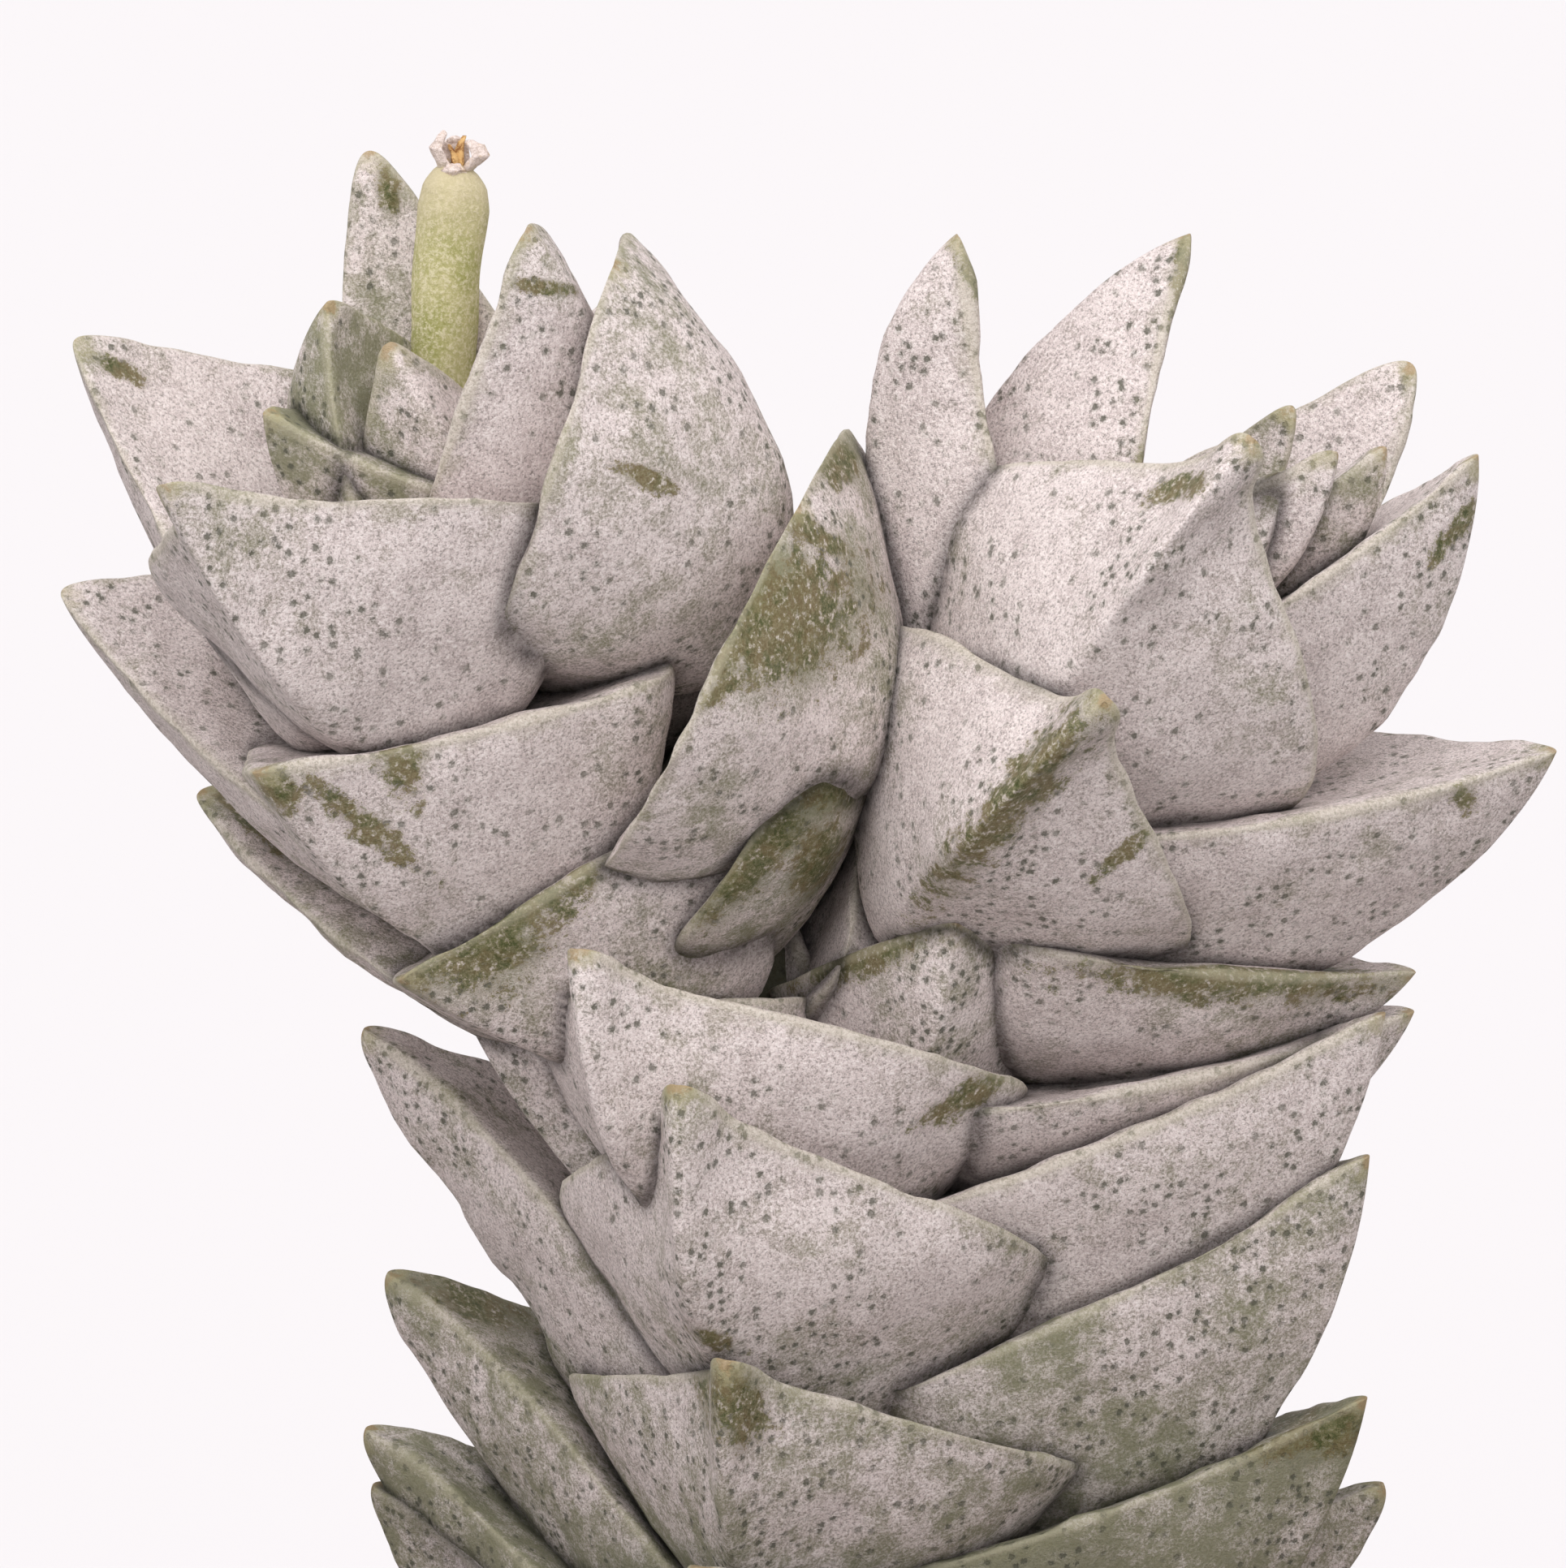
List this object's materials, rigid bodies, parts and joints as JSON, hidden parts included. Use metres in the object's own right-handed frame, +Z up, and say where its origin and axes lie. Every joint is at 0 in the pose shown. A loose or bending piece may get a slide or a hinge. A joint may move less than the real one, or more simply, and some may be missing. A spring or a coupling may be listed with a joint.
{
  "type": "potted succulent",
  "caption": "Short column of thick, chalky grey, keeled leaves in stacked ranks, forking into heads, one with an old flower stalk, in a plain clay pot.",
  "frame": {"origin": "centre of the pot's base, at the height of the surface it stands on", "axes": "+Z up along the pot's axis and the plant's column; +X to the viewer's right and -Y towards the viewer of the picture"},
  "size_m": [0.074, 0.074, 0.1269],
  "materials": {
    "clay": "matte",
    "soil": "matte",
    "leaf": "matte",
    "stalk": "matte",
    "dry_flower": "matte"
  },
  "bodies": {
    "root": {"pot": "clay", "potting_soil": "soil", "main_stem": "leaf", "left_head": "leaf", "right_head": "leaf", "flower_stalk": "stalk", "withered_flower": "dry_flower"}
  },
  "joints": []
}
